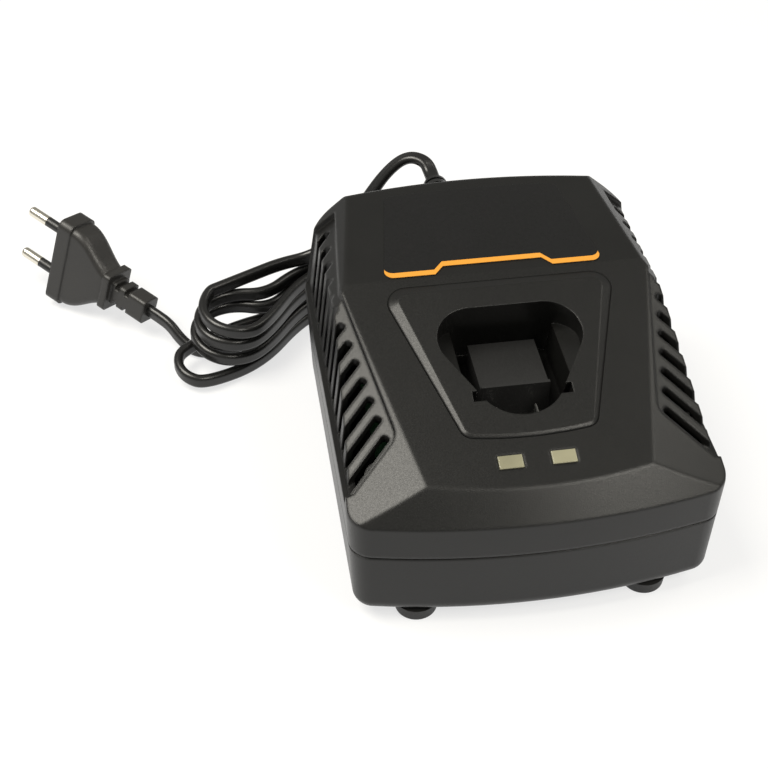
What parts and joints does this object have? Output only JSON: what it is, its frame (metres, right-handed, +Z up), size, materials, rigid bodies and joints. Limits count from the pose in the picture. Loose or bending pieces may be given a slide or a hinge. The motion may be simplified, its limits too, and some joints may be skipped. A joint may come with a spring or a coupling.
{
  "type": "battery charger",
  "caption": "Wedge-shaped desktop charger for stick battery packs, with a lobed socket in a raised bezel, slotted side vents, rubber feet and a mains cord laid in a hank.",
  "frame": {"origin": "Middle of the housing's footprint, cord and plug left out, on the plane the feet stand on.", "axes": "+X to the right seen from the light windows, +Y to the rear where the cord leaves, +Z up."},
  "size_m": [0.2178, 0.2018, 0.0758],
  "materials": {
    "housing": "fine spark-eroded grain",
    "bezel": "fine grain, smooth rim",
    "carrier": "smooth moulding",
    "label_film": "satin film",
    "accent": "printed satin line",
    "window": "clear, slightly yellow",
    "foot_rubber": "matte",
    "cord_sheath": "satin sheath",
    "plug_moulding": "satin moulding",
    "sleeve": "smooth",
    "pin_metal": "nickel plated",
    "contact_metal": "plated spring brass",
    "board": "solder mask",
    "ferrite": "ground ferrite",
    "winding_tape": "polyester tape",
    "copper_wire": "enamelled copper",
    "can_sleeve": "shrink sleeve",
    "sink_metal": "extruded",
    "chip_black": "moulded epoxy",
    "fuse_ceramic": "ceramic tube",
    "light_lens": "clear lens",
    "lead_insulation": "smooth",
    "clamp_plastic": "smooth moulding",
    "screw_steel": "zinc plated"
  },
  "bodies": {
    "root": {"top_housing": "housing", "base_housing": "housing", "battery_well": "bezel", "contact_carrier": "carrier", "label_plate": "label_film", "accent_stripe": "accent", "light_window_left": "window", "light_window_right": "window", "foot_front_left": "foot_rubber", "foot_front_right": "foot_rubber", "foot_rear_left": "foot_rubber", "foot_rear_right": "foot_rubber", "strain_relief": "cord_sheath", "cord_tail": "cord_sheath", "cord_rear": "cord_sheath", "cord_hank": "cord_sheath", "cord_front": "cord_sheath", "plug_body": "plug_moulding", "pin_sleeve_upper": "sleeve", "pin_sleeve_lower": "sleeve", "plug_pin_upper": "pin_metal", "plug_pin_lower": "pin_metal", "contact_blade_left": "contact_metal", "contact_blade_right": "contact_metal", "circuit_board": "board", "indicator_board": "board", "transformer_core": "ferrite", "transformer_winding": "winding_tape", "choke_coil": "copper_wire", "mains_capacitor": "can_sleeve", "output_capacitor_1": "can_sleeve", "output_capacitor_2": "can_sleeve", "heat_sink": "sink_metal", "switching_transistor": "chip_black", "rectifier_bridge": "chip_black", "control_chip": "chip_black", "mains_fuse": "fuse_ceramic", "status_light_left": "light_lens", "status_light_right": "light_lens", "mains_lead_left": "lead_insulation", "mains_lead_right": "lead_insulation", "cord_clamp": "clamp_plastic", "housing_screws": "screw_steel", "board_screws": "screw_steel", "clamp_screws": "screw_steel"}
  },
  "joints": []
}
